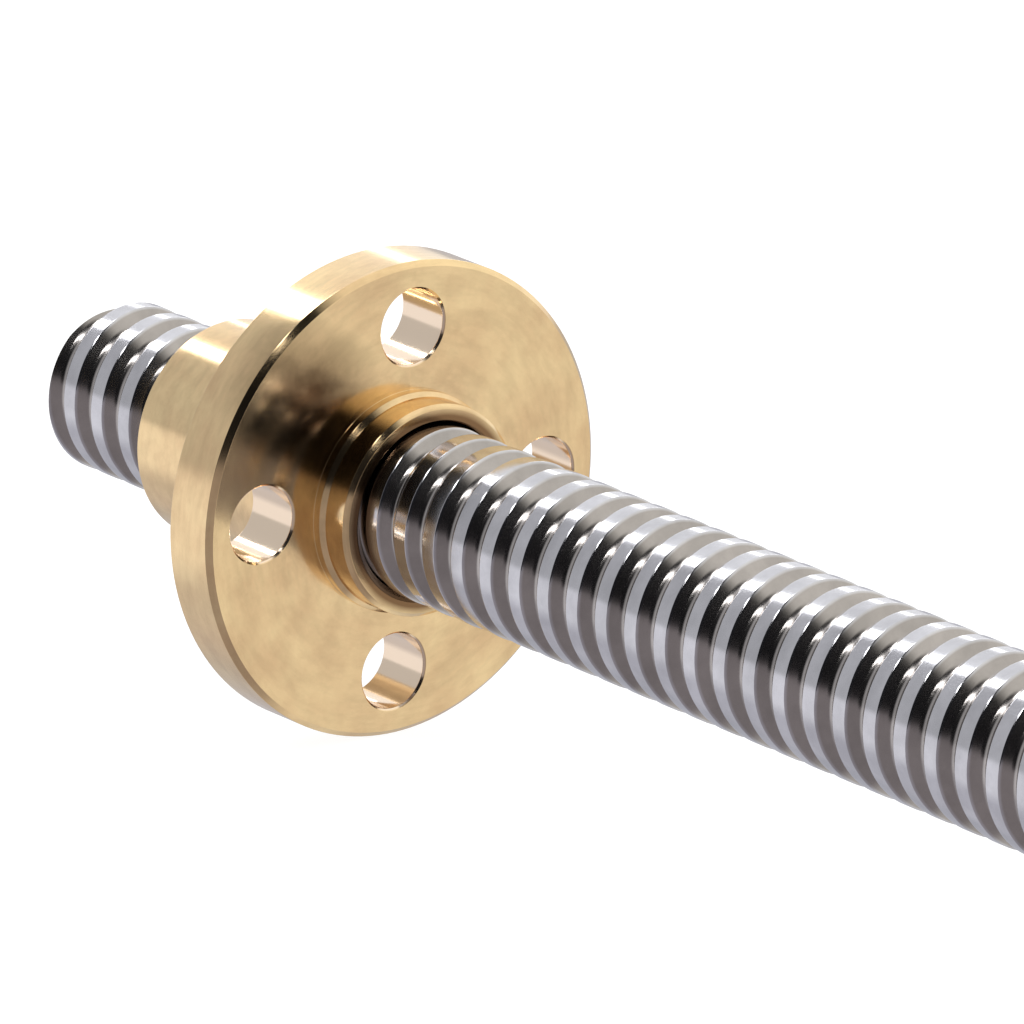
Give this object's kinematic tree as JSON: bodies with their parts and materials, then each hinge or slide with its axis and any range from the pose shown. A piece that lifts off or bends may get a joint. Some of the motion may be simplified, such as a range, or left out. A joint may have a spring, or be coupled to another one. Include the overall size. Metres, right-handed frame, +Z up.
{
  "type": "trapezoidal lead screw with flanged nut",
  "caption": "Steel trapezoidal lead screw with a flanged brass nut that travels along it, lying at rest.",
  "frame": {"origin": "middle of the part's footprint, on the surface that it lies on", "axes": "+Z up, +X along the part's length towards the screw's long end, +Y to the left of +X; the screw dips 5.1 degrees towards +X, because the part rests on the nut's flange and on the screw's near end"},
  "size_m": [0.1002, 0.022, 0.0221],
  "materials": {
    "steel": "bright rolled steel, polished",
    "brass": "turned brass, satin with faint tool marks"
  },
  "bodies": {
    "screw": {"screw": "steel"},
    "nut": {"nut": "brass"}
  },
  "joints": [
    {"name": "nut_travel", "type": "slide", "parent": "screw", "child": "nut", "axis": [0.9961, 0, -0.0886], "range_m": [-0.006, 0.076]}
  ]
}
